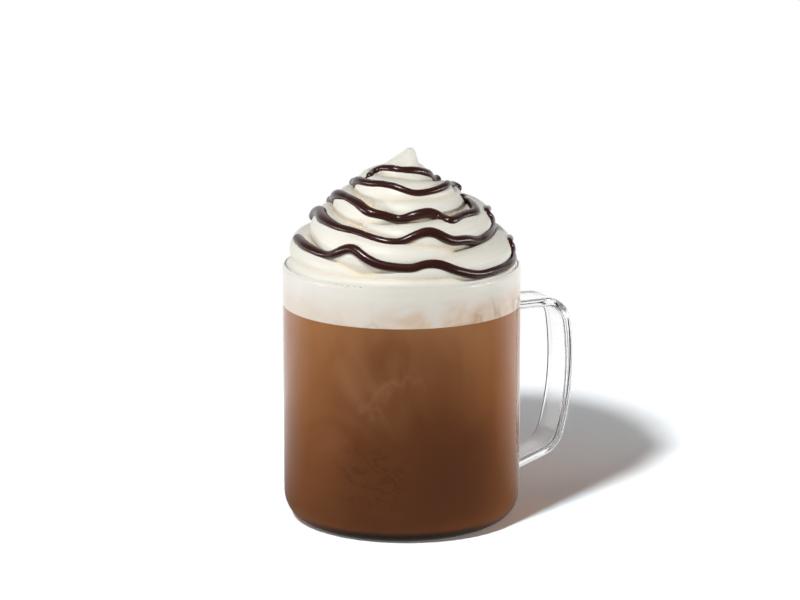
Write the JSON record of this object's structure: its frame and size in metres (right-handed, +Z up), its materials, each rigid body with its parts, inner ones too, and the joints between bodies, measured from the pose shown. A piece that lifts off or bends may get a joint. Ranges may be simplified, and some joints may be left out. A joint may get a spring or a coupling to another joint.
{
  "type": "caffe mocha in a glass mug",
  "caption": "Milky mocha coffee in a straight clear glass mug with a strap handle, topped with milk foam and a peaked whipped cream swirl drizzled with chocolate sauce.",
  "frame": {"origin": "centre of the mug's flat underside", "axes": "+Z up along the mug's axis, +X from the axis towards the handle, +Y across the strap's width"},
  "size_m": [0.1127, 0.088, 0.14],
  "materials": {
    "clear_glass": "clear, polished",
    "coffee": "opaque milky liquid",
    "foam": "soft, fine bubbles",
    "cream": "soft, smooth"
  },
  "bodies": {
    "root": {"glass_mug": "clear_glass", "mocha_coffee": "coffee", "milk_foam": "foam", "whipped_cream": "cream"}
  },
  "joints": []
}
